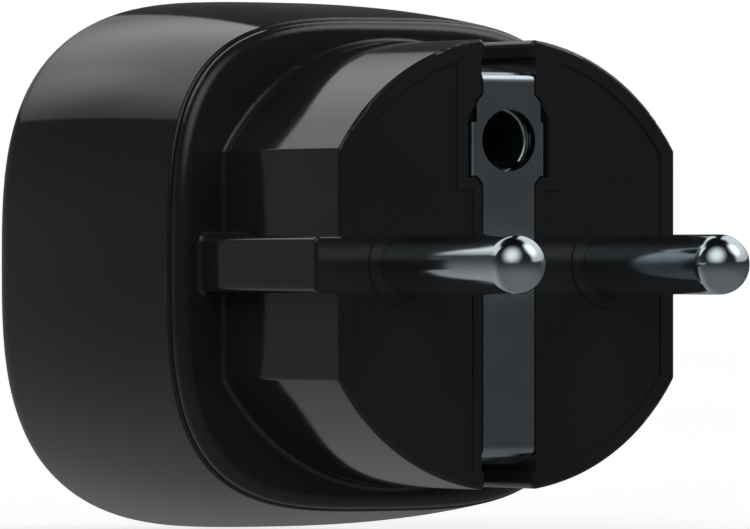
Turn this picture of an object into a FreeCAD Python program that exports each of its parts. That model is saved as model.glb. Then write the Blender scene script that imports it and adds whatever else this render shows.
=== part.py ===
"""Universal travel adapter with a type E/F plug, modelled as its separate pieces.

Millimetres. The origin is the centre of the plug's engagement face. The plug pins point
towards -Y, the housing lies towards +Y and the earth hole is above the pins, towards +Z.
"""
import FreeCAD, Part
import math
import os

# Plug pins and earth hole: fixed by the CEE 7/7 plug and the CEE 7/5 socket's earth pin
PIN_RADIUS = 2.4
PIN_X = 9.5
PIN_REACH = 19.0
PIN_NECK_RADIUS = 2.22
PIN_NECK_Y = (-0.03, 0.6)
PIN_HOLE_GAP = 0.02
PIN_CLEARANCE = 0.05
EARTH_Z = 10.0
EARTH_BORE_RADIUS = 2.42

# Plug block
BLOCK_RADIUS = 18.3
FLAT_X = 15.8
RIB_X = 18.0
RIB_HALF_HEIGHT = 2.3
RIB_ROUNDING = 0.5
FLOOR_Y = 18.5
FRONT_WALL = 2.4
CAVITY_RADIUS = 16.0
CAVITY_X = 13.6
CAVITY_Z = 13.4
PANEL_DEPTH = 0.12
PANEL_INSET = 1.3
PANEL_INNER_X = 3.3
PANEL_STEP_X = 4.8
PANEL_STEP_Z = 6.0
COLLAR_RADIUS = 3.5
SIDE_SLOT_HALF_WIDTH = 2.2
SIDE_SLOT_ROUNDING = 0.45
ARM_GROOVE_HALF_WIDTH = 2.55
ARM_GROOVE_TOP_Z = 16.7
SIDE_SLOT_Z = 14.4
SIDE_SLOT_END_Y = 16.0
FRONT_ROUNDING = 0.3
CORNER_ROUNDING = 0.4
BASE_ROUNDING = 0.45

# Cover plate behind the plug block
COVER_HALF = 20.1
COVER_POWER = 3.4
COVER_EDGE_Y = 19.65
COVER_ROUNDING = 1.1
SEAM_HALF = 19.7
BODY_FRONT_Y = 19.85
SKIRT_HALF = 18.0
SKIRT_WALL = 1.0
COVER_BACK_Y = 20.9
TONGUE_HALF_WIDTH = 4.0
HOOK_REACH = 18.95
HOOK_Y = (21.7, 22.1, 23.2)
CATCH_MARGIN = 0.2

# Housing
BODY_END_Y = 48.0
BODY_FRONT_HALF = 20.3
BODY_WIDEST_HALF = 22.2
BODY_WIDEST_Y = 46.0
BODY_FRONT_POWER = 3.4
BODY_END_POWER = 2.95
BODY_END_ROUNDING = 4.0
BODY_EDGE_ROUNDING = 0.3
BODY_WALL = 2.1
SECTION_COUNT = 5
SQUIRCLE_POINTS = 48
LIP_Y = 46.6
LIP_HALF = 17.6

# Socket faceplate and the openings in it
PLATE_BACK_Y = 45.0
PLATE_STEP_Y = 46.5
PLATE_FRONT_Y = 47.8
PLATE_FLANGE_HALF = 19.9
PLATE_FACE_HALF = 17.5
SOCKET_Z = -10.0
EURO_X = 9.5
EURO_HOLE_RADIUS = 2.5
US_X = 6.35
US_SLOT = (1.9, 8.2)
AU_X = 6.86
AU_SLOT = (1.8, 6.6)
AU_TILT = 30.0
UK_X = 11.1
UK_SLOT = (6.8, 4.4)
UK_EARTH_RISE = 22.2
UK_EARTH_SLOT = (4.4, 8.4)
MIDDLE_EARTH_RISE = 11.88
MIDDLE_EARTH_RADIUS = 2.5
ROUND_EARTH_RADIUS = 2.25
ROUND_EARTH_RISE = 5.0

# Screws that hold the socket stack together
STACK_SCREW_X = 16.2
STACK_SCREW_Z = 8.0
STACK_SCREW_RADIUS = 1.0
STACK_SCREW_HEAD_RADIUS = 1.8
STACK_SCREW_HEAD_HEIGHT = 1.4
STACK_SCREW_LENGTH = 20.0
STACK_BOSS_RADIUS = 1.7
DRIVER_CROSS = (2.2, 0.5)

# Sheet metal
SHEET = 0.6
CLIP_SHEET = 0.5
SPRING_SHEET = 0.4
STRAP_SHEET = 0.7
STRAP_FRONT_Y = 0.0
STRAP_END_Z = 14.3
STRAP_HALF_WIDTH = 2.4
STRAP_WIDE_HALF = 3.0
STRAP_WIDE_Z = (6.5, 7.2, 13.0, 13.7)
STRAP_ARM_HALF_WIDTH = 2.4
STRAP_ARM_BEND_RADIUS = 0.5
STRAP_ARM_PATH = ((2.0, 15.2), (8.0, 15.9), (14.0, 15.0), (15.4, 14.9))
STRAP_HOLE_RADIUS = 2.5
STRAP_EAR_X = 3.5
STRAP_EAR_Z = (7.15, 11.45)
STRAP_EAR_END_Y = 4.2
STRAP_EAR_ROUNDING = 0.45
CHANNEL_GAP = 0.12
CHANNEL_WIDE_HALF = 3.8
CHANNEL_ROUND_RADIUS = 4.2

# Earth sleeve and link
SLEEVE_RADIUS = 2.9
SLEEVE_START_Y = 1.6
SLEEVE_ROUNDING = 0.2
SLEEVE_END_Y = 14.0
SLEEVE_SLIT_WIDTH = 0.9
SLEEVE_SLIT_ANGLE = 52.0
SLEEVE_FLANGE = 0.6
SLEEVE_FLANGE_RADIUS = 3.3
LINK_Z = (5.4, 6.0)
LINK_HALF_WIDTH = 1.5
LINK_END_Y = 24.9
LINK_BORE_RADIUS = 2.75

# Pin fixing
PIN_FLANGE_RADIUS = 3.5
PIN_FLANGE_BACK_Y = 4.2
SHANK_RADIUS = 2.0
TENON_RADIUS = 1.5
RIVET_HEAD_RADIUS = 2.2
RIVET_HEAD_HEIGHT = 0.8
RETAINER_Y = (8.0, 9.6)
RETAINER_GAP = 0.3
RETAINER_SCREW = (10.5, 9.0)
RETAINER_SCREW_RADIUS = 1.1
RETAINER_SCREW_TIP_Y = 2.9
RETAINER_BOSS_RADIUS = 2.2
RETAINER_HEAD_RADIUS = 1.9
RETAINER_HEAD_HEIGHT = 1.3

# Contact carrier
CARRIER_BACK_Y = 24.6
CARRIER_BASE_Y = 27.0
CARRIER_TOP_Y = 39.2
CARRIER_HALF = 18.4
CARRIER_POWER = 3.3
POCKET_X = (4.7, 14.5)
POCKET_Z = (-13.4, 4.2)
SPARE_POCKET_Z = (5.4, 13.0)
EARTH_POCKET_HALF = 3.5
EARTH_POCKET_Z = (-13.0, 16.0)
EARTH_WALL = 0.9
EARTH_BASE_Y = 23.6
CARRIER_KEEL_Y = 22.0

# Contacts
CONTACT_X = (5.2, 14.3)
CONTACT_STRIP_X = 8.0
CONTACT_EYE_X = 12.4
CONTACT_EYE_HALF = 3.0
CLIP_HALF_HEIGHT = 2.1
LEAF_X = (8.2, 14.3)
BEND_RADIUS = 0.8
BLADE_SPRING_HALF_WIDTH = 3.0
SMALL_RIVET_RADIUS = 0.6
SMALL_RIVET_HEAD_RADIUS = 0.85
SMALL_RIVET_HEAD_HEIGHT = 0.45
SMALL_RIVET_RECESS = 0.7
CONTACT_RIVET_Z = (SOCKET_Z - 1.7, SOCKET_Z + 1.7)
LEAF_GAPS = (3.0, 1.95, 2.9, 2.9)
LEAF_DEPTHS = (38.0, 36.2, 30.0, CARRIER_BASE_Y + CLIP_SHEET / 2)
BLADE_SPRING_MIDDLE = 6.4
BLADE_SPRING_GAPS = (1.15, 0.75, 1.3, 1.3)
BLADE_SPRING_DEPTHS = (38.2, 36.2, 30.6, CARRIER_BASE_Y + SHEET + SPRING_SHEET / 2)

# Earth bar and its clips
BAR_HALF_WIDTH = 2.4
BAR_Z = (-12.4, 15.8)
MIDDLE_Z = SOCKET_Z + MIDDLE_EARTH_RISE
EARTH_CLIP_PLACES = {
    "large": (SOCKET_Z + UK_EARTH_RISE, 3.6),
    "small": (MIDDLE_Z, 2.9),
    "round": (SOCKET_Z + ROUND_EARTH_RISE / 2, 4.2),
}
EARTH_CLIP_GAPS = {
    "large": (2.9, 1.9, 2.15, 2.15),
    "small": (2.6, 0.95, 2.15, 2.15),
    "round": (2.9, 1.95, 2.15, 2.15),
}
EARTH_CLIP_RISE = (14.2, 12.2, 6.0, SHEET + CLIP_SHEET / 2)

# Shutters, their frame and springs
FRAME_BASE_Y = 40.2
FRAME_HALF = 18.6
GUIDE_INNER_X = (3.7, 4.7)
GUIDE_OUTER_X = (14.5, 15.5)
FRAME_BOTTOM_Z = (-15.4, -14.6)
FRAME_SEAT_Z = (13.4, 15.0)
WINDOW_HALF = 4.4
SHUTTER_X = (4.9, 14.3)
SHUTTER_GAP = 0.1
SHUTTER_TIP = 0.5
SHUTTER_TIP_Z = -14.5
SHUTTER_RIDGE_Z = -6.1
SHUTTER_TOP_Z = -4.1
SPRING_X = 9.6
SPRING_RADIUS = 1.5
SPRING_WIRE_RADIUS = 0.16
SPRING_TURNS = 12
PEG_RADIUS = 0.9
PEG_LENGTH = 1.2

DEPTH = FreeCAD.Vector(0, 1, 0)
ACROSS = FreeCAD.Vector(1, 0, 0)
ORIGIN = FreeCAD.Vector(0, 0, 0)
FAR = 60.0
CLOSE = 0.001


# ---------------------------------------------------------------- basic shapes

def point(x, y, z):
    return FreeCAD.Vector(x, y, z)


def block(x, y, z):
    """Box between the two limits given for each direction."""
    size = [abs(pair[1] - pair[0]) for pair in (x, y, z)]
    return Part.makeBox(*size, point(min(x), min(y), min(z)))


def rod(radius, x, z, y):
    """Round bar along Y between the two limits in y."""
    return Part.makeCylinder(radius, y[1] - y[0], point(x, y[0], z), DEPTH)


def squircle(y, half, power):
    """Closed curve |x|^power + |z|^power = half^power at the depth y."""
    points = []
    for index in range(SQUIRCLE_POINTS):
        angle = 2 * math.pi * index / SQUIRCLE_POINTS
        cosine, sine = math.cos(angle), math.sin(angle)
        radius = half * (abs(cosine) ** power + abs(sine) ** power) ** (-1 / power)
        points.append(point(radius * cosine, y, radius * sine))
    curve = Part.BSplineCurve()
    curve.interpolate(Points=points, PeriodicFlag=True)
    return Part.Wire(curve.toShape())


def squircle_block(y, half, power):
    """Straight block with a squircle outline between the two depths."""
    return Part.Face(squircle(y[0], half, power)).extrude(DEPTH * (y[1] - y[0]))


def joined(*shapes):
    return shapes[0].fuse(list(shapes[1:])).removeSplitter()


def without(shape, *tools):
    return shape.cut(list(tools))


def mirrored(shape):
    """The same piece on the other side of the plane x = 0."""
    return shape.mirror(ORIGIN, ACROSS)


def on_both_sides(shape):
    return [shape, mirrored(shape)]


def four_corners(x, z):
    return [(side * x, level * z) for side in (1, -1) for level in (1, -1)]


def outline_block(points, extrusion):
    """Prism over the closed outline through the points."""
    return Part.Face(Part.makePolygon(points + [points[0]])).extrude(extrusion)


def near(value, target):
    return abs(value - target) < CLOSE


def edges_at_depth(shape, y):
    return [edge for edge in shape.Edges
            if near(edge.BoundBox.YMin, y) and near(edge.BoundBox.YMax, y)]


def edges_along_depth(shape, x, z):
    """Straight edges parallel to Y whose distances from the middle planes are x and z."""
    found = []
    for edge in shape.Edges:
        box = edge.BoundBox
        straight = near(box.XLength, 0) and near(box.ZLength, 0)
        if straight and near(abs(box.XMin), x) and near(abs(box.ZMin), z):
            found.append(edge)
    return found


# ---------------------------------------------------------------- bent sheet metal

def unit(vector):
    return vector * (1 / vector.Length)


def left_of(direction):
    return FreeCAD.Vector(-direction.y, direction.x, 0)


def bend(before, corner, after, radius, offset):
    """Start, middle and end of the arc that rounds one corner, on one side of the sheet."""
    arriving = unit(corner - before)
    leaving = unit(after - corner)
    turn = math.copysign(1, arriving.cross(leaving).z)
    reach = radius * math.tan(arriving.getAngle(leaving) / 2)
    centre = corner - arriving * reach + left_of(arriving) * radius * turn
    arc_radius = radius - turn * offset
    directions = (left_of(arriving) * -turn, unit(corner - centre), left_of(leaving) * -turn)
    return [centre + direction * arc_radius for direction in directions]


def sheet_side(path, radius, offset, place):
    """Edges along one side of a bent sheet, with the two end points of that side."""
    start = path[0] + left_of(unit(path[1] - path[0])) * offset
    current = start
    edges = []
    for before, corner, after in zip(path, path[1:], path[2:]):
        arc = bend(before, corner, after, radius, offset)
        edges.append(Part.makeLine(place(current), place(arc[0])))
        edges.append(Part.Arc(*[place(item) for item in arc]).toShape())
        current = arc[2]
    end = path[-1] + left_of(unit(path[-1] - path[-2])) * offset
    edges.append(Part.makeLine(place(current), place(end)))
    return edges, place(start), place(end)


def bent_sheet(corners, radius, thickness, place, extrusion):
    """Strip of sheet metal whose middle line runs through the corners, with round bends."""
    path = [FreeCAD.Vector(first, second, 0) for first, second in corners]
    left, left_start, left_end = sheet_side(path, radius, thickness / 2, place)
    right, right_start, right_end = sheet_side(path, radius, -thickness / 2, place)
    caps = [Part.makeLine(left_start, right_start), Part.makeLine(left_end, right_end)]
    wire = Part.Wire(Part.__sortEdges__(left + right + caps))
    return Part.Face(wire).extrude(extrusion)


def clip(half_gaps, depths, radius, thickness, place, extrusion):
    """U-shaped clip: the half gaps between its arms at the mouth, waist, hip and base."""
    one_arm = list(zip(half_gaps, depths))
    other_arm = [(-gap, depth) for gap, depth in reversed(one_arm)]
    return bent_sheet(one_arm + other_arm, radius, thickness, place, extrusion)


# ---------------------------------------------------------------- plug cover

def block_outline(radius, flat, y):
    """Round bar with its two sides cut flat."""
    return rod(radius, 0, 0, y).common(block((-flat, flat), y, (-radius, radius)))


def side_slots():
    """Open slots above and below, through which a socket's side springs reach the strip."""
    half_width = (-SIDE_SLOT_HALF_WIDTH, SIDE_SLOT_HALF_WIDTH)
    return [block(half_width, (-1, SIDE_SLOT_END_Y), (level * SIDE_SLOT_Z, level * FLOOR_Y))
            for level in (1, -1)]


def arm_grooves():
    """Wider grooves under the slots' lips, in which the strip's two arms lie."""
    half_width = (-ARM_GROOVE_HALF_WIDTH, ARM_GROOVE_HALF_WIDTH)
    return [block(half_width, (-1, SIDE_SLOT_END_Y), (level * SIDE_SLOT_Z, level * ARM_GROOVE_TOP_Z))
            for level in (1, -1)]


def plug_body():
    """Plug block with its guide ribs on the cover plate, edges rounded."""
    depth = (0, BODY_FRONT_Y)
    ribs = block((-RIB_X, RIB_X), depth, (-RIB_HALF_HEIGHT, RIB_HALF_HEIGHT))
    core = joined(block_outline(BLOCK_RADIUS, FLAT_X, depth), ribs)
    corner_z = math.sqrt(BLOCK_RADIUS ** 2 - FLAT_X ** 2)
    core = core.makeFillet(CORNER_ROUNDING, edges_along_depth(core, FLAT_X, corner_z))
    core = core.makeFillet(RIB_ROUNDING, edges_along_depth(core, RIB_X, RIB_HALF_HEIGHT))
    core = without(core, *side_slots())
    slot_z = math.sqrt(BLOCK_RADIUS ** 2 - SIDE_SLOT_HALF_WIDTH ** 2)
    core = core.makeFillet(SIDE_SLOT_ROUNDING, edges_along_depth(core, SIDE_SLOT_HALF_WIDTH, slot_z))
    core = core.makeFillet(FRONT_ROUNDING, edges_at_depth(core, 0))
    plate = squircle_block((FLOOR_Y, COVER_EDGE_Y), COVER_HALF, COVER_POWER)
    plate = plate.makeFillet(COVER_ROUNDING, edges_at_depth(plate, FLOOR_Y))
    seam = squircle_block((COVER_EDGE_Y, BODY_FRONT_Y), SEAM_HALF, COVER_POWER)
    back = squircle_block((BODY_FRONT_Y, COVER_BACK_Y), SKIRT_HALF, COVER_POWER)
    body = joined(core, plate, seam, back)
    base = [edge for edge in edges_at_depth(body, FLOOR_Y)
            if max(edge.BoundBox.XMax, edge.BoundBox.ZMax) < BLOCK_RADIUS + CORNER_ROUNDING / 2]
    return body.makeFillet(BASE_ROUNDING, base)


def half_panels():
    """Shallow recesses on the face, one on each side of the earth strip."""
    depth = (-1, PANEL_DEPTH)
    area = block_outline(BLOCK_RADIUS - PANEL_INSET, FLAT_X - PANEL_INSET, depth)
    middle = block((-PANEL_INNER_X, PANEL_INNER_X), depth, (-FAR, FAR))
    step = block((-PANEL_STEP_X, PANEL_STEP_X), depth, (PANEL_STEP_Z, FAR))
    collars = [rod(COLLAR_RADIUS, side * PIN_X, 0, depth) for side in (1, -1)]
    return without(area, middle, step, *collars)


def channel_outline(wide, gap, end, y):
    """Straight channel that widens below the earth hole, between the two depths in y."""
    narrow = STRAP_HALF_WIDTH + gap
    low, wide_low, wide_high, high = STRAP_WIDE_Z
    side = [(narrow, -end), (narrow, low - gap), (wide, wide_low - gap),
            (wide, wide_high + gap), (narrow, high + gap), (narrow, end)]
    points = [point(x, y[0], z) for x, z in side]
    points += [point(-x, y[0], z) for x, z in reversed(side)]
    return outline_block(points, DEPTH * (y[1] - y[0]))


def channel():
    """Channel for the earth strip, and the opening behind it for the earth sleeve."""
    depth = (-1, STRAP_FRONT_Y + STRAP_SHEET)
    groove = channel_outline(STRAP_WIDE_HALF + CHANNEL_GAP, CHANNEL_GAP, SIDE_SLOT_Z + CHANNEL_GAP, depth)
    wide = (-CHANNEL_WIDE_HALF, CHANNEL_WIDE_HALF)
    pocket = rod(CHANNEL_ROUND_RADIUS, 0, EARTH_Z, depth).common(block(wide, depth, (EARTH_Z, FAR)))
    ear_z = (STRAP_EAR_Z[0] - CHANNEL_GAP, STRAP_EAR_Z[1] + CHANNEL_GAP)
    sides = block(wide, depth, ear_z)
    ear_reach = STRAP_EAR_X + CHANNEL_GAP
    ears = block((-ear_reach, ear_reach), (0, FRONT_WALL), ear_z)
    sleeve = rod(SLEEVE_RADIUS + CHANNEL_GAP, 0, EARTH_Z, (0, FRONT_WALL))
    return [groove, pocket, sides, ears, sleeve]


def snap_hook(direction):
    """Tongue with a catch that clicks into the housing, on the +Y side of the cover."""
    width = TONGUE_HALF_WIDTH
    inner = SKIRT_HALF - SKIRT_WALL
    tongue = block((inner, SKIRT_HALF - PIN_CLEARANCE), (COVER_BACK_Y, CARRIER_BACK_Y), (-width, width))
    catch, crest, toe = HOOK_Y
    points = [point(inner, catch, -width), point(HOOK_REACH, catch, -width),
              point(HOOK_REACH, crest, -width), point(SKIRT_HALF - PIN_CLEARANCE, toe, -width),
              point(inner, toe, -width)]
    hook = joined(tongue, outline_block(points, point(0, 0, 2 * width)))
    hook.rotate(ORIGIN, DEPTH, direction)
    return hook


def make_plug_cover():
    cavity_depth = (FRONT_WALL, FAR)
    cavity = block_outline(CAVITY_RADIUS, CAVITY_X, cavity_depth)
    cavity = cavity.common(block((-FAR, FAR), cavity_depth, (-CAVITY_Z, CAVITY_Z)))
    hole_depth = (-1, FRONT_WALL + 1)
    pin_holes = [rod(PIN_RADIUS + PIN_HOLE_GAP, side * PIN_X, 0, hole_depth) for side in (1, -1)]
    cover = without(plug_body(), cavity, half_panels(), *pin_holes, *channel(), *arm_grooves())
    inside = block_outline(CAVITY_RADIUS + 1, CAVITY_X + 1, (0, FAR))
    bosses = []
    for x, z in four_corners(*RETAINER_SCREW):
        boss = rod(RETAINER_BOSS_RADIUS, x, z, (FRONT_WALL, RETAINER_Y[0]))
        bosses.append(boss.common(inside))
    cover = joined(cover, *bosses, *[snap_hook(turn) for turn in (0, 90, 180, 270)])
    pilots = [rod(RETAINER_SCREW_RADIUS, x, z, (RETAINER_SCREW_TIP_Y, RETAINER_Y[0]))
              for x, z in four_corners(*RETAINER_SCREW)]
    return without(cover, *pilots)


# ---------------------------------------------------------------- housing

def body_half(y):
    """Half width of the barrel-shaped housing at the depth y."""
    share = (y - BODY_FRONT_Y) / (BODY_WIDEST_Y - BODY_FRONT_Y)
    return BODY_FRONT_HALF + (BODY_WIDEST_HALF - BODY_FRONT_HALF) * (1 - (1 - share) ** 2)


def body_power(y):
    """Squareness of the housing's section at the depth y."""
    share = (y - BODY_FRONT_Y) / (BODY_WIDEST_Y - BODY_FRONT_Y)
    return BODY_FRONT_POWER + (BODY_END_POWER - BODY_FRONT_POWER) * share


def barrel(start, end, inset):
    """Barrel between two depths, inset all round from the housing's outside."""
    step = (end - start) / (SECTION_COUNT - 1)
    depths = [start + step * index for index in range(SECTION_COUNT)]
    sections = [squircle(y, body_half(y) - inset, body_power(y)) for y in depths]
    return Part.makeLoft(sections, True, False)


def make_body_shell():
    outside = barrel(BODY_FRONT_Y, BODY_END_Y, 0)
    outside = outside.makeFillet(BODY_END_ROUNDING, edges_at_depth(outside, BODY_END_Y))
    outside = outside.makeFillet(BODY_EDGE_ROUNDING, edges_at_depth(outside, BODY_FRONT_Y))
    opening = squircle_block((LIP_Y - 1, BODY_END_Y + 1), LIP_HALF, BODY_END_POWER)
    reach = HOOK_REACH + CATCH_MARGIN
    width = TONGUE_HALF_WIDTH + CATCH_MARGIN
    depth = (HOOK_Y[0] - CATCH_MARGIN / 2, HOOK_Y[2] + CATCH_MARGIN)
    catches = [block((-reach, reach), depth, (-width, width)),
               block((-width, width), depth, (-reach, reach))]
    return without(outside, barrel(BODY_FRONT_Y - 1, LIP_Y, BODY_WALL), opening, *catches)


# ---------------------------------------------------------------- socket faceplate

def slot(x, z, size, depth):
    """Rectangular opening of the given width and height, centred on x and z."""
    width, height = size
    return block((x - width / 2, x + width / 2), depth, (z - height / 2, z + height / 2))


def live_opening(depth):
    """One live opening: round, straight blade, slanted blade and large rectangular pins."""
    slanted = slot(AU_X, SOCKET_Z, AU_SLOT, depth)
    slanted.rotate(point(AU_X, 0, SOCKET_Z), DEPTH, -AU_TILT)
    return [rod(EURO_HOLE_RADIUS, EURO_X, SOCKET_Z, depth), slot(US_X, SOCKET_Z, US_SLOT, depth),
            slanted, slot(UK_X, SOCKET_Z, UK_SLOT, depth)]


def earth_openings(depth):
    """The three openings on the middle line."""
    middle_z = SOCKET_Z + MIDDLE_EARTH_RISE
    round_z = SOCKET_Z + ROUND_EARTH_RISE
    return [rod(ROUND_EARTH_RADIUS, 0, SOCKET_Z, depth), rod(ROUND_EARTH_RADIUS, 0, round_z, depth),
            slot(0, (SOCKET_Z + round_z) / 2, (2 * ROUND_EARTH_RADIUS, ROUND_EARTH_RISE), depth),
            rod(MIDDLE_EARTH_RADIUS, 0, middle_z, depth), slot(0, middle_z, AU_SLOT, depth),
            slot(0, SOCKET_Z + UK_EARTH_RISE, UK_EARTH_SLOT, depth)]


def make_socket_faceplate():
    flange = squircle_block((PLATE_BACK_Y, PLATE_STEP_Y), PLATE_FLANGE_HALF, BODY_END_POWER)
    face = squircle_block((PLATE_STEP_Y, PLATE_FRONT_Y), PLATE_FACE_HALF, BODY_END_POWER)
    face = face.makeFillet(CORNER_ROUNDING, edges_at_depth(face, PLATE_FRONT_Y))
    corners = four_corners(STACK_SCREW_X, STACK_SCREW_Z)
    bosses = [rod(STACK_BOSS_RADIUS, x, z, (FRAME_BASE_Y, PLATE_BACK_Y)) for x, z in corners]
    screw_end = CARRIER_BACK_Y + STACK_SCREW_LENGTH
    pilots = [rod(STACK_SCREW_RADIUS, x, z, (FRAME_BASE_Y, screw_end)) for x, z in corners]
    depth = (PLATE_BACK_Y - 1, PLATE_FRONT_Y + 1)
    right = live_opening(depth)
    left = [mirrored(shape) for shape in right]
    return without(joined(flange, face, *bosses), *pilots, *right, *left, *earth_openings(depth))


# ---------------------------------------------------------------- pins and their fixing

def make_pin(side):
    """Solid pin: round end, bar, shallow neck, clamping flange, shank, tenon and riveted head."""
    x = side * PIN_X
    end_y = PIN_RADIUS - PIN_REACH
    plate_top = CARRIER_BASE_Y + SHEET
    head_y = plate_top + RIVET_HEAD_HEIGHT
    tip = Part.makeSphere(PIN_RADIUS, point(x, end_y, 0))
    head = rod(RIVET_HEAD_RADIUS, x, 0, (plate_top, head_y))
    head = head.makeFillet(RIVET_HEAD_HEIGHT / 2, edges_at_depth(head, head_y))
    return joined(tip, rod(PIN_RADIUS, x, 0, (end_y, PIN_NECK_Y[0])),
                  rod(PIN_NECK_RADIUS, x, 0, PIN_NECK_Y),
                  rod(PIN_RADIUS, x, 0, (PIN_NECK_Y[1], FRONT_WALL)),
                  rod(PIN_FLANGE_RADIUS, x, 0, (FRONT_WALL, PIN_FLANGE_BACK_Y)),
                  rod(SHANK_RADIUS, x, 0, (PIN_FLANGE_BACK_Y, CARRIER_BASE_Y)),
                  rod(TENON_RADIUS, x, 0, (CARRIER_BASE_Y, plate_top)), head)


def make_pin_retainer():
    """Plate with collars that press the pin flanges against the front wall."""
    plate = block_outline(CAVITY_RADIUS - RETAINER_GAP, CAVITY_X - RETAINER_GAP, RETAINER_Y)
    reach = CAVITY_Z - RETAINER_GAP
    plate = plate.common(block((-FAR, FAR), RETAINER_Y, (-reach, reach)))
    collar_depth = (PIN_FLANGE_BACK_Y, RETAINER_Y[0])
    collars = [rod(PIN_FLANGE_RADIUS, side * PIN_X, 0, collar_depth) for side in (1, -1)]
    guide = rod(SLEEVE_RADIUS + 1, 0, EARTH_Z, (STRAP_EAR_END_Y + 1, RETAINER_Y[0]))
    guide = guide.common(block((-FAR, FAR), (0, FAR), (0, reach)))
    through = (0, FAR)
    holes = [rod(SHANK_RADIUS + PIN_CLEARANCE, side * PIN_X, 0, through) for side in (1, -1)]
    holes.append(rod(SLEEVE_RADIUS + PIN_CLEARANCE, 0, EARTH_Z, through))
    for x, z in four_corners(*RETAINER_SCREW):
        holes.append(rod(RETAINER_SCREW_RADIUS + PIN_CLEARANCE, x, z, through))
    return without(joined(plate, *collars, guide), *holes)


def cross_recess(x, z, y):
    """Cross-shaped driver recess, its two limits in depth given by y."""
    length, width = DRIVER_CROSS
    return joined(slot(x, z, (length, width), y), slot(x, z, (width, length), y))


def make_retainer_screws():
    head_y = RETAINER_Y[1]
    top = head_y + RETAINER_HEAD_HEIGHT
    screws = []
    for x, z in four_corners(*RETAINER_SCREW):
        head = rod(RETAINER_HEAD_RADIUS, x, z, (head_y, top))
        head = head.makeFillet(CORNER_ROUNDING, edges_at_depth(head, top))
        shank = rod(RETAINER_SCREW_RADIUS, x, z, (RETAINER_SCREW_TIP_Y, head_y))
        recess = cross_recess(x, z, (top - RETAINER_HEAD_HEIGHT / 2, top))
        screws.append(without(joined(head, shank), recess))
    return Part.makeCompound(screws)


# ---------------------------------------------------------------- earth strip, sleeve and link

def strap_arm(level):
    """Side contact: the strip bends back, bows outwards and returns inside its slot."""
    middle = STRAP_FRONT_Y + STRAP_SHEET / 2
    shoulder = STRAP_ARM_PATH[0][1] - PIN_CLEARANCE
    path = [(middle, STRAP_END_Z - 1), (middle, shoulder)] + list(STRAP_ARM_PATH)
    path = [(first, level * second) for first, second in path]
    start = -STRAP_ARM_HALF_WIDTH
    return bent_sheet(path, STRAP_ARM_BEND_RADIUS, STRAP_SHEET, lambda item: point(start, item.x, item.y),
                      ACROSS * 2 * STRAP_ARM_HALF_WIDTH)


def ear_edges(strip):
    """Front outer edges of the strip's two ears."""
    found = []
    for edge in edges_at_depth(strip, STRAP_FRONT_Y):
        box = edge.BoundBox
        upright = near(box.XLength, 0) and near(abs(box.XMin), STRAP_EAR_X)
        if upright and near(box.ZMin, STRAP_EAR_Z[0]) and near(box.ZMax, STRAP_EAR_Z[1]):
            found.append(edge)
    return found


def make_earth_strip():
    back = STRAP_FRONT_Y + STRAP_SHEET
    face = channel_outline(STRAP_WIDE_HALF, 0, STRAP_END_Z, (STRAP_FRONT_Y, back))
    ears = []
    for side in (1, -1):
        ears.append(block((side * STRAP_HALF_WIDTH, side * STRAP_EAR_X), (STRAP_FRONT_Y, back),
                          STRAP_EAR_Z))
        ears.append(block((side * SLEEVE_RADIUS, side * STRAP_EAR_X), (STRAP_FRONT_Y, STRAP_EAR_END_Y),
                          STRAP_EAR_Z))
    hole = rod(STRAP_HOLE_RADIUS, 0, EARTH_Z, (-1, back))
    strip = without(joined(face, *ears, strap_arm(1), strap_arm(-1)), hole)
    return strip.makeFillet(STRAP_EAR_ROUNDING, ear_edges(strip))


def make_earth_pin_sleeve():
    """Split sleeve that grips the socket's earth pin."""
    flange_y = SLEEVE_END_Y - SLEEVE_FLANGE
    tube = joined(rod(SLEEVE_RADIUS, 0, EARTH_Z, (SLEEVE_START_Y, SLEEVE_END_Y)),
                  rod(SLEEVE_FLANGE_RADIUS, 0, EARTH_Z, (flange_y, SLEEVE_END_Y)))
    bore = rod(EARTH_BORE_RADIUS, 0, EARTH_Z, (0, FAR))
    tube = without(tube, bore)
    tube = tube.makeFillet(SLEEVE_ROUNDING, edges_at_depth(tube, SLEEVE_START_Y))
    slit = block((-SLEEVE_SLIT_WIDTH / 2, SLEEVE_SLIT_WIDTH / 2), (0, flange_y - 1),
                 (EARTH_Z - SLEEVE_FLANGE_RADIUS, EARTH_Z))
    slit.rotate(point(0, 0, EARTH_Z), DEPTH, SLEEVE_SLIT_ANGLE - 90)
    return without(tube, slit)


def make_earth_link():
    """Bracket from the back of the sleeve to the earth bar."""
    back = SLEEVE_END_Y + SHEET
    width = (-LINK_HALF_WIDTH, LINK_HALF_WIDTH)
    eye = rod(SLEEVE_FLANGE_RADIUS, 0, EARTH_Z, (SLEEVE_END_Y, back))
    neck = block(width, (SLEEVE_END_Y, back), (LINK_Z[0], EARTH_Z))
    leg = block(width, (SLEEVE_END_Y, LINK_END_Y), LINK_Z)
    bore = rod(LINK_BORE_RADIUS, 0, EARTH_Z, (0, FAR))
    link = without(joined(eye, neck, leg), bore)
    heel = [edge for edge in edges_at_depth(link, SLEEVE_END_Y)
            if edge.BoundBox.ZMax < LINK_Z[0] + PIN_CLEARANCE]
    return link.makeFillet(SHEET / 2, heel)


# ---------------------------------------------------------------- earth bar and clips

def earth_rivet_places():
    return [place[0] for place in EARTH_CLIP_PLACES.values()]


def make_earth_busbar():
    bar = block((-BAR_HALF_WIDTH, BAR_HALF_WIDTH), (EARTH_BASE_Y, EARTH_BASE_Y + SHEET), BAR_Z)
    holes = [rod(SMALL_RIVET_RADIUS, 0, z, (0, FAR)) for z in earth_rivet_places()]
    tab = block((-LINK_HALF_WIDTH, LINK_HALF_WIDTH), (0, FAR), LINK_Z)
    return without(bar, tab, *holes)


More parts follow.
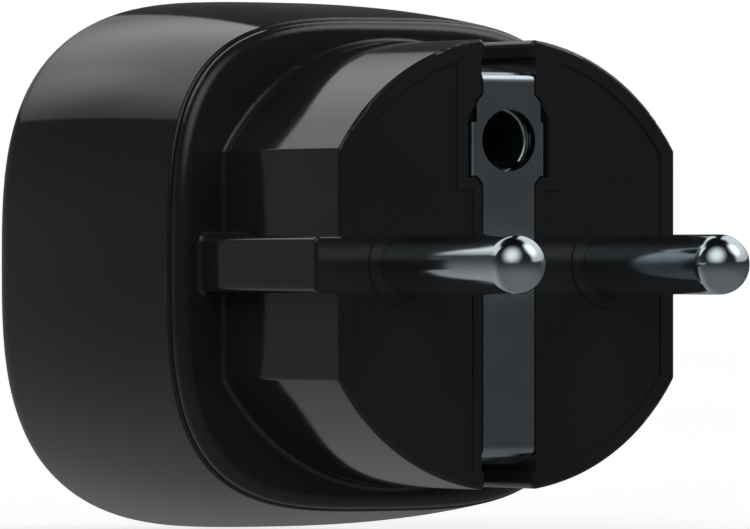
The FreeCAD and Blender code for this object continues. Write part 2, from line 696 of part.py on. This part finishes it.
def make_earth_clip(name):
    middle, half_length = EARTH_CLIP_PLACES[name]
    depths = [EARTH_BASE_Y + rise for rise in EARTH_CLIP_RISE]
    body = clip(EARTH_CLIP_GAPS[name], depths, BEND_RADIUS, CLIP_SHEET,
                lambda item: point(item.x, item.y, middle - half_length), point(0, 0, 2 * half_length))
    return without(body, rod(SMALL_RIVET_RADIUS, 0, middle, (0, FAR)))


def small_rivet(x, z, y):
    """Rivet whose two heads lie outside the two depths in y."""
    height = SMALL_RIVET_HEAD_HEIGHT
    back = rod(SMALL_RIVET_HEAD_RADIUS, x, z, (y[0] - height, y[0]))
    front = rod(SMALL_RIVET_HEAD_RADIUS, x, z, (y[1], y[1] + height))
    front = front.makeFillet(height / 2, edges_at_depth(front, y[1] + height))
    return joined(back, rod(SMALL_RIVET_RADIUS, x, z, y), front)


def make_earth_rivets():
    depth = (EARTH_BASE_Y, EARTH_BASE_Y + SHEET + CLIP_SHEET)
    return Part.makeCompound([small_rivet(0, z, depth) for z in earth_rivet_places()])


# ---------------------------------------------------------------- live contacts

def make_contact():
    """Right-hand contact: clip for round and rectangular pins, riveted on the plug pin."""
    depth = (CARRIER_BASE_Y, CARRIER_BASE_Y + SHEET)
    leaves = clip(LEAF_GAPS, LEAF_DEPTHS, BEND_RADIUS, CLIP_SHEET,
                  lambda item: point(LEAF_X[0], item.y, SOCKET_Z + item.x),
                  ACROSS * (LEAF_X[1] - LEAF_X[0]))
    low = SOCKET_Z - CLIP_HALF_HEIGHT
    foot = block(CONTACT_X, depth, (low, SOCKET_Z + CLIP_HALF_HEIGHT))
    strip = block((CONTACT_X[0], CONTACT_STRIP_X), depth, (low, CONTACT_EYE_HALF))
    eye = block((CONTACT_X[0], CONTACT_EYE_X), depth, (-CONTACT_EYE_HALF, CONTACT_EYE_HALF))
    holes = [rod(TENON_RADIUS, PIN_X, 0, (0, FAR))]
    holes += [rod(SMALL_RIVET_RADIUS, BLADE_SPRING_MIDDLE, z, (0, FAR)) for z in CONTACT_RIVET_Z]
    return without(joined(leaves, foot, strip, eye), *holes)


def make_blade_spring():
    """Right-hand inner clip for flat blades."""
    start = SOCKET_Z - BLADE_SPRING_HALF_WIDTH
    body = clip(BLADE_SPRING_GAPS, BLADE_SPRING_DEPTHS, BEND_RADIUS / 2, SPRING_SHEET,
                lambda item: point(BLADE_SPRING_MIDDLE + item.x, item.y, start),
                point(0, 0, 2 * BLADE_SPRING_HALF_WIDTH))
    holes = [rod(SMALL_RIVET_RADIUS, BLADE_SPRING_MIDDLE, z, (0, FAR)) for z in CONTACT_RIVET_Z]
    return without(body, *holes)


def make_contact_rivets():
    depth = (CARRIER_BASE_Y, CARRIER_BASE_Y + SHEET + SPRING_SHEET)
    right = [small_rivet(BLADE_SPRING_MIDDLE, z, depth) for z in CONTACT_RIVET_Z]
    return Part.makeCompound(right + [mirrored(shape) for shape in right])


# ---------------------------------------------------------------- contact carrier

def make_contact_carrier():
    """Insulating block with one pocket for each contact and one for the earth bar."""
    body = squircle_block((CARRIER_BACK_Y, CARRIER_TOP_Y), CARRIER_HALF, CARRIER_POWER)
    keel_half = EARTH_POCKET_HALF + EARTH_WALL
    keel_z = (EARTH_POCKET_Z[0] - EARTH_WALL, EARTH_POCKET_Z[1] + EARTH_WALL)
    keel = block((-keel_half, keel_half), (CARRIER_KEEL_Y, CARRIER_BASE_Y), keel_z)
    pocket_depth = (CARRIER_BASE_Y, FAR)
    earth_pocket = block((-EARTH_POCKET_HALF, EARTH_POCKET_HALF), (EARTH_BASE_Y, FAR), EARTH_POCKET_Z)
    pockets = on_both_sides(block(POCKET_X, pocket_depth, POCKET_Z))
    pockets += on_both_sides(block(POCKET_X, pocket_depth, SPARE_POCKET_Z))
    through = (0, FAR)
    holes = [rod(SHANK_RADIUS + PIN_CLEARANCE, side * PIN_X, 0, through) for side in (1, -1)]
    for x, z in four_corners(STACK_SCREW_X, STACK_SCREW_Z):
        holes.append(rod(STACK_SCREW_RADIUS + PIN_CLEARANCE, x, z, through))
    tab = LINK_HALF_WIDTH + PIN_CLEARANCE
    holes.append(block((-tab, tab), through, (LINK_Z[0] - PIN_CLEARANCE, LINK_Z[1] + PIN_CLEARANCE)))
    recess_radius = SMALL_RIVET_HEAD_RADIUS + 2 * PIN_CLEARANCE
    for z in earth_rivet_places():
        holes.append(rod(recess_radius, 0, z, (EARTH_BASE_Y - SMALL_RIVET_RECESS, EARTH_BASE_Y)))
    for z in CONTACT_RIVET_Z:
        recess = rod(recess_radius, BLADE_SPRING_MIDDLE, z,
                     (CARRIER_BASE_Y - SMALL_RIVET_RECESS, CARRIER_BASE_Y))
        holes += on_both_sides(recess)
    return without(joined(body, keel), earth_pocket, *pockets, *holes)


# ---------------------------------------------------------------- shutters

def frame_windows():
    """Openings in the frame's base through which the pins reach the contacts."""
    depth = (CARRIER_TOP_Y - 1, FRAME_BASE_Y)
    live = block((GUIDE_INNER_X[1], GUIDE_OUTER_X[0]), depth,
                 (SOCKET_Z - WINDOW_HALF, SOCKET_Z + WINDOW_HALF))
    return on_both_sides(live) + earth_openings(depth)


def make_shutter_frame():
    base = squircle_block((CARRIER_TOP_Y, FRAME_BASE_Y), FRAME_HALF, BODY_END_POWER)
    wall_depth = (FRAME_BASE_Y, PLATE_BACK_Y)
    span = (GUIDE_INNER_X[0], GUIDE_OUTER_X[1])
    full = (FRAME_BOTTOM_Z[0], FRAME_SEAT_Z[1])
    walls = [block(GUIDE_INNER_X, wall_depth, full), block(GUIDE_OUTER_X, wall_depth, full),
             block(span, wall_depth, FRAME_BOTTOM_Z), block(span, wall_depth, FRAME_SEAT_Z)]
    peg = Part.makeCylinder(PEG_RADIUS, PEG_LENGTH, point(SPRING_X, spring_depth(), FRAME_SEAT_Z[0]),
                            point(0, 0, -1))
    parts = [base]
    for shape in walls + [peg]:
        parts += on_both_sides(shape)
    holes = []
    for x, z in four_corners(STACK_SCREW_X, STACK_SCREW_Z):
        holes.append(rod(STACK_SCREW_RADIUS + PIN_CLEARANCE, x, z, (0, FRAME_BASE_Y)))
        holes.append(rod(STACK_BOSS_RADIUS + PIN_CLEARANCE, x, z, wall_depth))
    return without(joined(*parts), *holes, *frame_windows())


def spring_depth():
    return (FRAME_BASE_Y + PLATE_BACK_Y) / 2


def make_shutter():
    """Right-hand shutter: a wedge that an entering pin pushes upwards."""
    low = FRAME_BASE_Y + SHUTTER_GAP
    high = PLATE_BACK_Y - SHUTTER_GAP
    points = [point(SHUTTER_X[0], y, z) for y, z in (
        (low, SHUTTER_TIP_Z), (low + SHUTTER_TIP, SHUTTER_TIP_Z), (high, SHUTTER_RIDGE_Z),
        (high, SHUTTER_TOP_Z), (low, SHUTTER_TOP_Z))]
    wedge = outline_block(points, ACROSS * (SHUTTER_X[1] - SHUTTER_X[0]))
    peg = Part.makeCylinder(PEG_RADIUS, PEG_LENGTH, point(SPRING_X, spring_depth(), SHUTTER_TOP_Z))
    return joined(wedge, peg)


def make_shutter_spring():
    """Right-hand coil spring between the shutter and the frame's seat."""
    start = SHUTTER_TOP_Z + SPRING_WIRE_RADIUS
    height = FRAME_SEAT_Z[0] - SPRING_WIRE_RADIUS - start
    helix = Part.Wire(Part.makeHelix(height / SPRING_TURNS, height, SPRING_RADIUS))
    wire = Part.Wire(Part.makeCircle(SPRING_WIRE_RADIUS, point(SPRING_RADIUS, 0, 0), DEPTH))
    spring = helix.makePipeShell([wire], True, True)
    spring.translate(point(SPRING_X, spring_depth(), start))
    return spring


def make_carrier_screws():
    head_depth = (CARRIER_BACK_Y - STACK_SCREW_HEAD_HEIGHT, CARRIER_BACK_Y)
    tip = CARRIER_BACK_Y + STACK_SCREW_LENGTH
    screws = []
    for x, z in four_corners(STACK_SCREW_X, STACK_SCREW_Z):
        head = rod(STACK_SCREW_HEAD_RADIUS, x, z, head_depth)
        head = head.makeFillet(CORNER_ROUNDING, edges_at_depth(head, head_depth[0]))
        recess = cross_recess(x, z, (head_depth[0], head_depth[0] + STACK_SCREW_HEAD_HEIGHT / 2))
        shank = rod(STACK_SCREW_RADIUS, x, z, (CARRIER_BACK_Y, tip))
        screws.append(joined(without(head, recess), shank))
    return Part.makeCompound(screws)


# ---------------------------------------------------------------- all pieces

def all_pieces():
    contact = make_contact()
    blade_spring = make_blade_spring()
    shutter = make_shutter()
    shutter_spring = make_shutter_spring()
    return {
        "body_shell": make_body_shell(),
        "plug_cover": make_plug_cover(),
        "socket_faceplate": make_socket_faceplate(),
        "left_pin": make_pin(-1),
        "right_pin": make_pin(1),
        "pin_retainer": make_pin_retainer(),
        "retainer_screws": make_retainer_screws(),
        "earth_strip": make_earth_strip(),
        "earth_pin_sleeve": make_earth_pin_sleeve(),
        "earth_link": make_earth_link(),
        "earth_busbar": make_earth_busbar(),
        "large_earth_clip": make_earth_clip("large"),
        "small_earth_clip": make_earth_clip("small"),
        "round_earth_clip": make_earth_clip("round"),
        "earth_rivets": make_earth_rivets(),
        "left_contact": mirrored(contact),
        "right_contact": contact,
        "left_blade_spring": mirrored(blade_spring),
        "right_blade_spring": blade_spring,
        "contact_rivets": make_contact_rivets(),
        "contact_carrier": make_contact_carrier(),
        "shutter_frame": make_shutter_frame(),
        "left_shutter": mirrored(shutter),
        "right_shutter": shutter,
        "left_shutter_spring": mirrored(shutter_spring),
        "right_shutter_spring": shutter_spring,
        "carrier_screws": make_carrier_screws(),
    }


def main():
    os.makedirs("parts", exist_ok=True)
    for name, shape in all_pieces().items():
        shape.exportStep("parts/" + name + ".step")
        print(name, shape.isValid(), len(shape.Solids), round(shape.Volume, 2))


main()
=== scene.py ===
import math

import bpy
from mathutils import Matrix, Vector


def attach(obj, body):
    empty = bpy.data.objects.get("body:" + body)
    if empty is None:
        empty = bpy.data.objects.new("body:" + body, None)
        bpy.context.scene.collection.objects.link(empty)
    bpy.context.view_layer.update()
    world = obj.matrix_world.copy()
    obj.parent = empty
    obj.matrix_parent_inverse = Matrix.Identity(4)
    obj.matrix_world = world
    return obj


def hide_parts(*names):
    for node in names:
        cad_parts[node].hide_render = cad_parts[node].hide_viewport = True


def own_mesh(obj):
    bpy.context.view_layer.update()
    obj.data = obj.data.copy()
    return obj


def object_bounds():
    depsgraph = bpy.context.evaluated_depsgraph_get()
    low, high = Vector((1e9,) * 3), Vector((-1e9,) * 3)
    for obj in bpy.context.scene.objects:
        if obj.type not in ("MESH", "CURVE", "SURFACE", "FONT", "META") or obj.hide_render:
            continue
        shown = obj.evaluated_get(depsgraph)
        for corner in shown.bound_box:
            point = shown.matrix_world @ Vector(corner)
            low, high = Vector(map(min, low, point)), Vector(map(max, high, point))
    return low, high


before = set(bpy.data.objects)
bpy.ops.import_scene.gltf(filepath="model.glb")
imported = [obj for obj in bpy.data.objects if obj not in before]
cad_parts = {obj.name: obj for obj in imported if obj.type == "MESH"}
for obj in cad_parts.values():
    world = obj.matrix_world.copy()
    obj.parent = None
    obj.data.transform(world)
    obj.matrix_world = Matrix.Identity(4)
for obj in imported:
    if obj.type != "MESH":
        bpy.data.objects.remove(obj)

CAD_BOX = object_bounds()
MM = 0.001
MICRON = 0.000001


# ---------------------------------------------------------------- node helpers

NOISE_LOW, NOISE_HIGH = 0.3, 0.7


class Recipe:
    """A material's node tree, with short calls for the nodes that the looks below need."""

    def __init__(self, name):
        self.material = bpy.data.materials.new(name)
        self.material.use_nodes = True
        self.tree = self.material.node_tree
        self.shader = self.tree.nodes["Principled BSDF"]
        self.place = self.tree.nodes.new("ShaderNodeTexCoord").outputs["Object"]

    def node(self, kind, **inputs):
        made = self.tree.nodes.new(kind)
        for key, value in inputs.items():
            self.feed(made.inputs[key.replace("_", " ")], value)
        return made

    def feed(self, socket, value):
        if isinstance(value, bpy.types.NodeSocket):
            self.tree.links.new(value, socket)
        else:
            socket.default_value = value

    def set(self, **inputs):
        for key, value in inputs.items():
            self.feed(self.shader.inputs[key.replace("_", " ")], value)

    def stretched(self, scale):
        """Object coordinates scaled separately along each axis."""
        return self.node("ShaderNodeMapping", Vector=self.place, Scale=scale).outputs["Vector"]

    def noise(self, scale, detail=3.0, vector=None):
        source = self.place if vector is None else vector
        made = self.node("ShaderNodeTexNoise", Vector=source, Scale=scale, Detail=detail)
        return made.outputs["Fac"]

    def spread(self, value, low, high):
        """Maps a noise value to the range from low to high."""
        made = self.node("ShaderNodeMapRange", Value=value, From_Min=NOISE_LOW, From_Max=NOISE_HIGH,
                         To_Min=low, To_Max=high)
        return made.outputs["Result"]

    def tint(self, value, first, second):
        """Colour between first and second, following a noise value."""
        made = self.tree.nodes.new("ShaderNodeMix")
        made.data_type = "RGBA"
        self.feed(made.inputs["Factor"], self.spread(value, 0.0, 1.0))
        self.feed(made.inputs["A"], (*first, 1.0))
        self.feed(made.inputs["B"], (*second, 1.0))
        return made.outputs["Result"]

    def calc(self, operation, *values):
        made = self.tree.nodes.new("ShaderNodeMath")
        made.operation = operation
        for socket, value in zip(made.inputs, values):
            self.feed(socket, value)
        return made.outputs["Value"]

    def vector(self, operation, *values):
        made = self.tree.nodes.new("ShaderNodeVectorMath")
        made.operation = operation
        for socket, value in zip(made.inputs, values):
            self.feed(socket, value)
        return made

    def bump(self, *layers, base=None):
        """Stacks height layers, each (height value, distance in metres)."""
        normal = base
        for height, distance in layers:
            made = self.node("ShaderNodeBump", Height=height, Distance=distance, Strength=1.0)
            if normal is not None:
                self.feed(made.inputs["Normal"], normal)
            normal = made.outputs["Normal"]
        self.feed(self.shader.inputs["Normal"], normal)


def shaded(colour, share):
    return tuple(channel * share for channel in colour)


# ---------------------------------------------------------------- materials

DARKER, LIGHTER = 0.85, 1.15
PLASTIC_IOR = 1.52
PEEL_DEPTH = 1.5 * MICRON
HAZE_DEPTH = 0.3 * MICRON


def gloss_plastic(name, colour, roughness, surface=None):
    """Injection-moulded gloss plastic: faint orange peel, fine handling haze, slight tone drift."""
    recipe = Recipe(name)
    drift = recipe.noise(scale=55.0)
    haze = recipe.noise(scale=900.0, detail=6.0)
    peel = recipe.noise(scale=420.0, detail=2.0)
    recipe.set(Base_Color=recipe.tint(drift, shaded(colour, DARKER), shaded(colour, LIGHTER)),
               Roughness=recipe.spread(haze, roughness * 0.8, roughness * 1.3),
               IOR=PLASTIC_IOR, Specular_IOR_Level=0.5)
    base = None if surface is None else surface(recipe)
    recipe.bump((peel, PEEL_DEPTH), (haze, HAZE_DEPTH), base=base)
    return recipe.material


# The housing's bulged side, in mm: a squircle that grows and turns rounder away from the plug
HOUSING_FRONT_Y = 19.85
HOUSING_WIDEST_Y = 46.0
HOUSING_SMOOTH_Y = (20.15, 44.0)
HOUSING_HALF = 20.3
HOUSING_BULGE = 1.9
HOUSING_POWER = 3.4
HOUSING_POWER_CHANGE = -0.45
SMALLEST_RATIO = 0.001
CLOSE_ENOUGH = 0.95


def housing_normal(recipe):
    """Exact outward direction on the bulged sides, so that long reflections stay smooth."""
    calc = recipe.calc
    geometry = recipe.tree.nodes.new("ShaderNodeNewGeometry")
    parts = recipe.node("ShaderNodeSeparateXYZ", Vector=geometry.outputs["Position"])
    across, along, upward = (calc("MULTIPLY", parts.outputs[name], 1 / MM) for name in "XYZ")
    length = HOUSING_WIDEST_Y - HOUSING_FRONT_Y
    share = calc("DIVIDE", calc("SUBTRACT", along, HOUSING_FRONT_Y), length)
    rest = calc("SUBTRACT", 1.0, share)
    bulge = calc("SUBTRACT", 1.0, calc("MULTIPLY", rest, rest))
    half = calc("MULTIPLY_ADD", bulge, HOUSING_BULGE, HOUSING_HALF)
    power = calc("MULTIPLY_ADD", share, HOUSING_POWER_CHANGE, HOUSING_POWER)
    slopes, logs = [], []
    for value in (across, upward):
        ratio = calc("MAXIMUM", calc("DIVIDE", calc("ABSOLUTE", value), half), SMALLEST_RATIO)
        raised = calc("POWER", ratio, power)
        slopes.append(calc("MULTIPLY", calc("DIVIDE", raised, ratio), calc("SIGN", value)))
        logs.append(calc("MULTIPLY", raised, calc("LOGARITHM", ratio, math.e)))
    growth = calc("MULTIPLY", rest, -2 * HOUSING_BULGE / length)
    twist = calc("MULTIPLY", calc("ADD", *logs), HOUSING_POWER_CHANGE / length)
    slope = calc("ADD", growth, calc("DIVIDE", calc("MULTIPLY", twist, half), power))
    raw = recipe.node("ShaderNodeCombineXYZ", X=slopes[0], Y=slope, Z=slopes[1]).outputs["Vector"]
    unit = recipe.vector("NORMALIZE", raw).outputs["Vector"]
    found = geometry.outputs["Normal"]
    likeness = recipe.vector("DOT_PRODUCT", unit, found).outputs["Value"]
    agrees = calc("GREATER_THAN", likeness, CLOSE_ENOUGH)
    near, far = HOUSING_SMOOTH_Y
    inside = calc("MULTIPLY", calc("GREATER_THAN", along, near), calc("LESS_THAN", along, far))
    mix = recipe.tree.nodes.new("ShaderNodeMix")
    mix.data_type = "VECTOR"
    recipe.feed(mix.inputs["Factor"], calc("MULTIPLY", inside, agrees))
    recipe.feed(mix.inputs["A"], found)
    recipe.feed(mix.inputs["B"], unit)
    return mix.outputs["Result"]


MATTE_IOR = 1.5
GRAIN_DEPTH = 20 * MICRON


def matte_plastic(name, colour):
    """Spark-eroded moulded plastic of the inner pieces."""
    recipe = Recipe(name)
    grain = recipe.noise(scale=6000.0, detail=2.0)
    drift = recipe.noise(scale=120.0)
    recipe.set(Base_Color=recipe.tint(drift, shaded(colour, DARKER), shaded(colour, LIGHTER)),
               Roughness=recipe.spread(grain, 0.45, 0.65), IOR=MATTE_IOR)
    recipe.bump((grain, GRAIN_DEPTH))
    return recipe.material


MARKS_ACROSS, MARKS_ALONG = 5200.0, 160.0


def metal(name, colour, roughness, mark_axis, mark_depth=1.5 * MICRON, streaks=0.35):
    """Drawn or rolled metal, its fine marks running along one axis."""
    recipe = Recipe(name)
    scale = [MARKS_ACROSS] * 3
    scale[mark_axis] = MARKS_ALONG
    marks = recipe.noise(scale=1.0, detail=4.0, vector=recipe.stretched(scale))
    cloud = recipe.noise(scale=260.0)
    recipe.set(Base_Color=recipe.tint(cloud, shaded(colour, 0.9), shaded(colour, 1.08)),
               Metallic=1.0,
               Roughness=recipe.spread(marks, roughness * (1 - streaks), roughness * (1 + streaks)))
    recipe.bump((marks, mark_depth))
    return recipe.material


X_AXIS, Y_AXIS, Z_AXIS = 0, 1, 2
BLACK = (0.025, 0.025, 0.026)


def build_materials():
    body = gloss_plastic("gloss_black_housing", BLACK, 0.06, housing_normal)
    cover = gloss_plastic("gloss_black_cover", BLACK, 0.08)
    face = gloss_plastic("gloss_black_faceplate", BLACK, 0.16)
    pins = metal("plated_pins", (0.60, 0.66, 0.69), 0.12, Y_AXIS, 0.3 * MICRON, 0.2)
    strip = metal("plated_earth_strip", (0.43, 0.48, 0.51), 0.24, Z_AXIS, 0.01 * MICRON, 0.04)
    sleeve = metal("plated_sleeve", (0.56, 0.60, 0.62), 0.33, Y_AXIS, 0.3 * MICRON, 0.1)
    brass = metal("stamped_brass", (0.74, 0.55, 0.25), 0.3, Z_AXIS)
    bronze = metal("spring_bronze", (0.62, 0.40, 0.22), 0.28, Y_AXIS)
    rivet = metal("rivet_brass", (0.70, 0.56, 0.32), 0.25, X_AXIS)
    screw = metal("zinc_screws", (0.58, 0.60, 0.64), 0.3, X_AXIS)
    wire = metal("spring_wire", (0.45, 0.45, 0.47), 0.22, X_AXIS)
    carrier = matte_plastic("carrier_plastic", (0.10, 0.10, 0.105))
    retainer = matte_plastic("retainer_plastic", (0.16, 0.16, 0.16))
    guide = matte_plastic("frame_plastic", (0.05, 0.05, 0.053))
    shutter = matte_plastic("shutter_plastic", (0.022, 0.022, 0.024))
    return {
        body: ["body_shell"],
        cover: ["plug_cover"],
        face: ["socket_faceplate"],
        pins: ["left_pin", "right_pin"],
        strip: ["earth_strip"],
        sleeve: ["earth_pin_sleeve"],
        brass: ["earth_link", "earth_busbar", "left_contact", "right_contact"],
        bronze: ["large_earth_clip", "small_earth_clip", "round_earth_clip",
                 "left_blade_spring", "right_blade_spring"],
        rivet: ["earth_rivets", "contact_rivets"],
        screw: ["retainer_screws", "carrier_screws"],
        wire: ["left_shutter_spring", "right_shutter_spring"],
        carrier: ["contact_carrier"],
        retainer: ["pin_retainer"],
        guide: ["shutter_frame"],
        shutter: ["left_shutter", "right_shutter"],
    }


def dress_nodes():
    for material, names in build_materials().items():
        for name in names:
            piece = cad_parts[name]
            for slot in piece.material_slots:
                slot.material = material


# ---------------------------------------------------------------- shutter springs


def squash_springs():
    """Copies each shutter spring onto the adapter's body with a mesh of its own, and hides the CAD
    spring.
    """
    for side in ("left", "right"):
        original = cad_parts[side + "_shutter_spring"]
        coil = bpy.data.objects.new(side + "_shutter_coil", original.data.copy())
        bpy.context.scene.collection.objects.link(coil)
        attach(coil, "adapter")
        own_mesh(coil)
        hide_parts(original.name)


# ---------------------------------------------------------------- studio

FLOOR_SIZE = 60.0
FLOOR_DROP = 0.5 * MM
FLOOR_GLOW = 0.62
FLOOR_TONES = (0.87, 0.88)


def build_floor():
    """Pale floor for the camera; mirrored rays pass it and meet the painted room below."""
    low, _ = CAD_BOX
    mesh = bpy.data.meshes.new("floor")
    half = FLOOR_SIZE / 2
    height = low[2] - FLOOR_DROP
    corners = [(x * half, y * half, height) for x, y in ((-1, -1), (1, -1), (1, 1), (-1, 1))]
    mesh.from_pydata(corners, [], [(0, 1, 2, 3)])
    floor = bpy.data.objects.new("floor", mesh)
    bpy.context.scene.collection.objects.link(floor)
    recipe = Recipe("pale_floor")
    cloud = recipe.noise(scale=3.0)
    paint = recipe.tint(cloud, *((tone, tone, tone) for tone in FLOOR_TONES))
    recipe.set(Base_Color=paint, Roughness=0.9, Specular_IOR_Level=0.0,
               Emission_Color=paint, Emission_Strength=FLOOR_GLOW)
    floor.data.materials.append(recipe.material)
    floor.visible_glossy = False
    floor.visible_diffuse = False


def direction(azimuth, elevation):
    """Unit vector; azimuth turns from +Y towards +X, both in degrees."""
    turn, rise = math.radians(azimuth), math.radians(elevation)
    level = math.cos(rise)
    return Vector((math.sin(turn) * level, math.cos(turn) * level, math.sin(rise)))


ROOM_TINT = (("Red", 0.97), ("Green", 1.0), ("Blue", 1.02))
WHITE = (1.0, 1.0, 1.0, 1.0)


class Room:
    """The painted surroundings, as seen in each direction."""

    def __init__(self):
        self.world = bpy.data.worlds.new("studio")
        self.world.use_nodes = True
        self.tree = self.world.node_tree
        self.ray = self.tree.nodes.new("ShaderNodeTexCoord").outputs["Generated"]
        rise = self.along(Vector((0.0, 0.0, 1.0)))
        self.height = self.calc("MULTIPLY", self.calc("ARCSINE", rise), 180 / math.pi)
        self.light = None

    def link(self, value, socket):
        if isinstance(value, bpy.types.NodeSocket):
            self.tree.links.new(value, socket)
        else:
            socket.default_value = value

    def calc(self, operation, *values):
        made = self.tree.nodes.new("ShaderNodeMath")
        made.operation = operation
        for socket, value in zip(made.inputs, values):
            self.link(value, socket)
        return made.outputs["Value"]

    def along(self, vector):
        made = self.tree.nodes.new("ShaderNodeVectorMath")
        made.operation = "DOT_PRODUCT"
        self.tree.links.new(self.ray, made.inputs[0])
        made.inputs[1].default_value = vector
        return made.outputs["Value"]

    def ramp(self, value, start, end, low=0.0, high=1.0):
        """Smooth change from low to high while the value goes from start to end."""
        made = self.tree.nodes.new("ShaderNodeMapRange")
        made.interpolation_type = "SMOOTHSTEP"
        for name, setting in (("Value", value), ("From Min", start), ("From Max", end),
                              ("To Min", low), ("To Max", high)):
            self.link(setting, made.inputs[name])
        return made.outputs["Result"]

    def add(self, light):
        self.light = light if self.light is None else self.calc("ADD", self.light, light)

    def window(self, value, span, soft):
        """One inside the span, falling to zero over the soft widths at its two ends."""
        return self.calc("MULTIPLY", self.ramp(value, span[0], span[0] + soft[0]),
                         self.ramp(value, span[1], span[1] - soft[1]))

    def soft_box(self, azimuths, elevations, side_soft, end_soft, climb, glow, tilt=0.0):
        """Bright panel curved round the adapter, its glow growing between the two climb angles."""
        middle = (azimuths[0] + azimuths[1]) / 2
        forward = self.along(direction(middle, 0.0))
        across = self.along(direction(middle + 90.0, 0.0))
        turn = self.calc("MULTIPLY", self.calc("ARCTAN2", across, forward), 180 / math.pi)
        inside = self.window(turn, [azimuth - middle for azimuth in azimuths], side_soft)
        tilted = self.calc("MULTIPLY_ADD", turn, tilt, self.height)
        foot = self.ramp(tilted, elevations[0], elevations[0] + end_soft[0])
        head = self.ramp(self.height, elevations[1], elevations[1] - end_soft[1])
        inside = self.calc("MULTIPLY", inside, self.calc("MULTIPLY", foot, head))
        bright = self.ramp(self.height, *climb, *glow)
        self.add(self.calc("MULTIPLY", inside, bright))

    def soft_disc(self, centre, radii, foot_soft, glow):
        """Round lamp above the horizon, full inside the first radius and gone at the second."""
        reach = self.calc("MULTIPLY", self.calc("ARCCOSINE", self.along(centre)), 180 / math.pi)
        disc = self.ramp(reach, *radii, glow, 0.0)
        self.add(self.calc("MULTIPLY", disc, self.ramp(self.height, *foot_soft)))

    def finish(self):
        """White to the camera, painted for every other ray."""
        seen = self.tree.nodes.new("ShaderNodeLightPath").outputs["Is Camera Ray"]
        colour = self.tree.nodes.new("ShaderNodeCombineColor")
        for name, share in ROOM_TINT:
            self.link(self.calc("MULTIPLY", self.light, share), colour.inputs[name])
        mix = self.tree.nodes.new("ShaderNodeMix")
        mix.data_type = "RGBA"
        self.tree.links.new(seen, mix.inputs["Factor"])
        self.tree.links.new(colour.outputs["Color"], mix.inputs["A"])
        mix.inputs["B"].default_value = WHITE
        self.tree.links.new(mix.outputs["Result"], self.tree.nodes["Background"].inputs["Color"])
        bpy.context.scene.world = self.world


BACKDROP = direction(-20.0, 0.0)


def paint_horizon(room):
    """Grey that brightens towards the ground and towards the backdrop, and fades overhead."""
    share = room.ramp(room.along(BACKDROP), 0.40, 0.88, low=0.40, high=1.0)
    ground = room.ramp(room.height, 18.0, -42.0, low=0.060, high=0.45)
    overhead = room.ramp(room.height, 20.0, 45.0, low=1.0, high=0.25)
    room.add(room.calc("MULTIPLY", room.calc("MULTIPLY", share, ground), overhead))


def build_world():
    room = Room()
    paint_horizon(room)
    # behind the adapter: long panel that the housing's side and the plug block mirror
    room.soft_box(azimuths=(-60.0, 25.0), elevations=(15.6, 54.0), side_soft=(3.0, 1.0),
                  end_soft=(0.6, 10.0), climb=(18.0, 33.0), glow=(0.28, 1.0), tilt=0.2)
    room.soft_disc(direction(-17.0, 25.0), radii=(2.0, 12.0), foot_soft=(10.0, 18.0), glow=0.28)
    # on the right: panel with a lamp in it, for the pins' balls and the strip's bend
    room.soft_box(azimuths=(38.0, 152.0), elevations=(7.0, 72.0), side_soft=(2.0, 20.0),
                  end_soft=(2.0, 14.0), climb=(7.0, 32.0), glow=(0.55, 0.95))
    room.soft_disc(direction(126.0, 45.0), radii=(6.0, 28.0), foot_soft=(0.0, 10.0), glow=1.1)
    # beside the camera: round lamp
    room.soft_disc(direction(-133.0, 36.0), radii=(6.0, 44.0), foot_soft=(0.0, 12.0), glow=1.2)
    room.finish()


# ---------------------------------------------------------------- camera

CAMERA_TURN = 30.48
CAMERA_DISTANCE = 735.25 * MM
CAMERA_SIDESTEP = 10.77 * MM
CAMERA_LENS = 438.4
SENSOR_WIDTH = 36.0
CAMERA_REACH = (0.01, 100.0)


def build_camera():
    """Level camera, turned from the plug's axis towards its left side."""
    data = bpy.data.cameras.new("camera")
    data.lens = CAMERA_LENS
    data.sensor_width = SENSOR_WIDTH
    data.clip_start, data.clip_end = CAMERA_REACH
    camera = bpy.data.objects.new("camera", data)
    bpy.context.scene.collection.objects.link(camera)
    turn = math.radians(CAMERA_TURN)
    forward = Vector((math.sin(turn), math.cos(turn), 0.0))
    right = Vector((math.cos(turn), -math.sin(turn), 0.0))
    camera.location = -forward * CAMERA_DISTANCE - right * CAMERA_SIDESTEP
    camera.rotation_euler = (math.radians(90.0), 0.0, -turn)
    bpy.context.scene.camera = camera


def set_colour():
    """Plain colours, with no film look."""
    bpy.context.scene.view_settings.view_transform = "Standard"
    bpy.context.scene.view_settings.look = "None"


dress_nodes()
squash_springs()
build_floor()
build_world()
build_camera()
set_colour()
